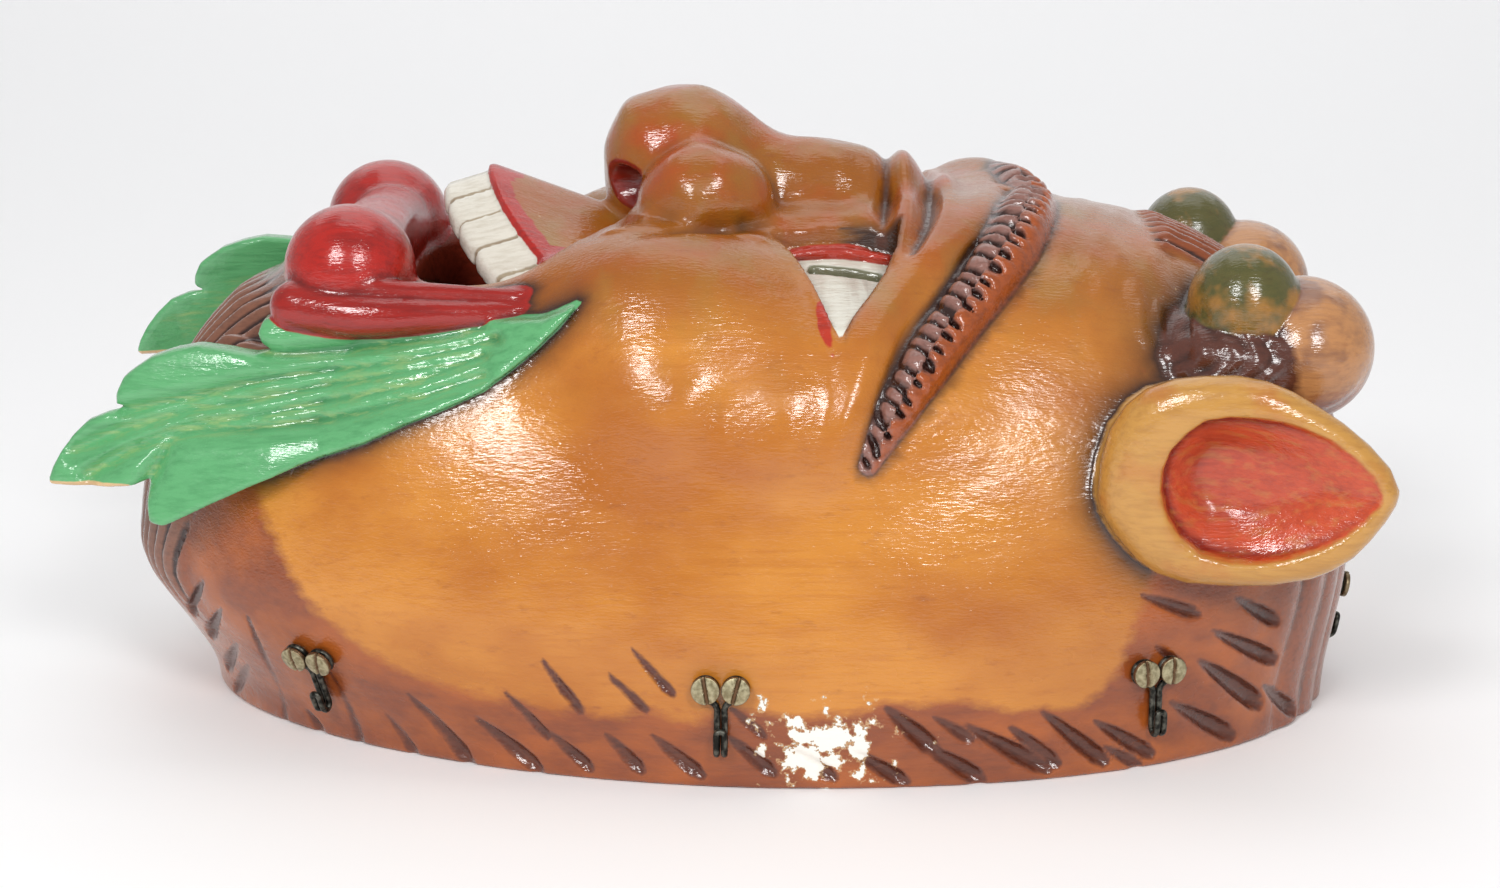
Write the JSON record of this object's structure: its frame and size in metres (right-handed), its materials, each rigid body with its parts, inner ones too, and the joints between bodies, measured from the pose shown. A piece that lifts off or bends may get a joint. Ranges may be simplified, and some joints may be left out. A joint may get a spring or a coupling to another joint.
{
  "type": "carnival mask",
  "caption": "Carved and painted wooden goblin mask with leafy mouth corners, toothed grin, pierced eyes, hollow back and wire hood hooks round its rim.",
  "frame": {"origin": "middle of the footprint, on the plane of the flat rim that the mask lies on", "axes": "+X to the crown, +Y to the wearer's side away from the camera, +Z the way the face looks"},
  "size_m": [0.3386, 0.1844, 0.161],
  "materials": {
    "painted_wood": "carved softwood under oil paint and varnish",
    "blackened_wire": "blackened steel wire",
    "nickel_plate": "worn nickel plate on brass"
  },
  "bodies": {
    "root": {"mask": "painted_wood", "hook_crown": "blackened_wire", "hook_left_chin": "blackened_wire", "hook_left_cheek": "blackened_wire", "hook_left_temple": "blackened_wire", "hook_right_chin": "blackened_wire", "hook_right_cheek": "blackened_wire", "hook_right_temple": "blackened_wire", "screw_crown_a": "nickel_plate", "screw_crown_b": "nickel_plate", "screw_left_chin_a": "nickel_plate", "screw_left_chin_b": "nickel_plate", "screw_left_cheek_a": "nickel_plate", "screw_left_cheek_b": "nickel_plate", "screw_left_temple_a": "nickel_plate", "screw_left_temple_b": "nickel_plate", "screw_right_chin_a": "nickel_plate", "screw_right_chin_b": "nickel_plate", "screw_right_cheek_a": "nickel_plate", "screw_right_cheek_b": "nickel_plate", "screw_right_temple_a": "nickel_plate", "screw_right_temple_b": "nickel_plate"}
  },
  "joints": []
}
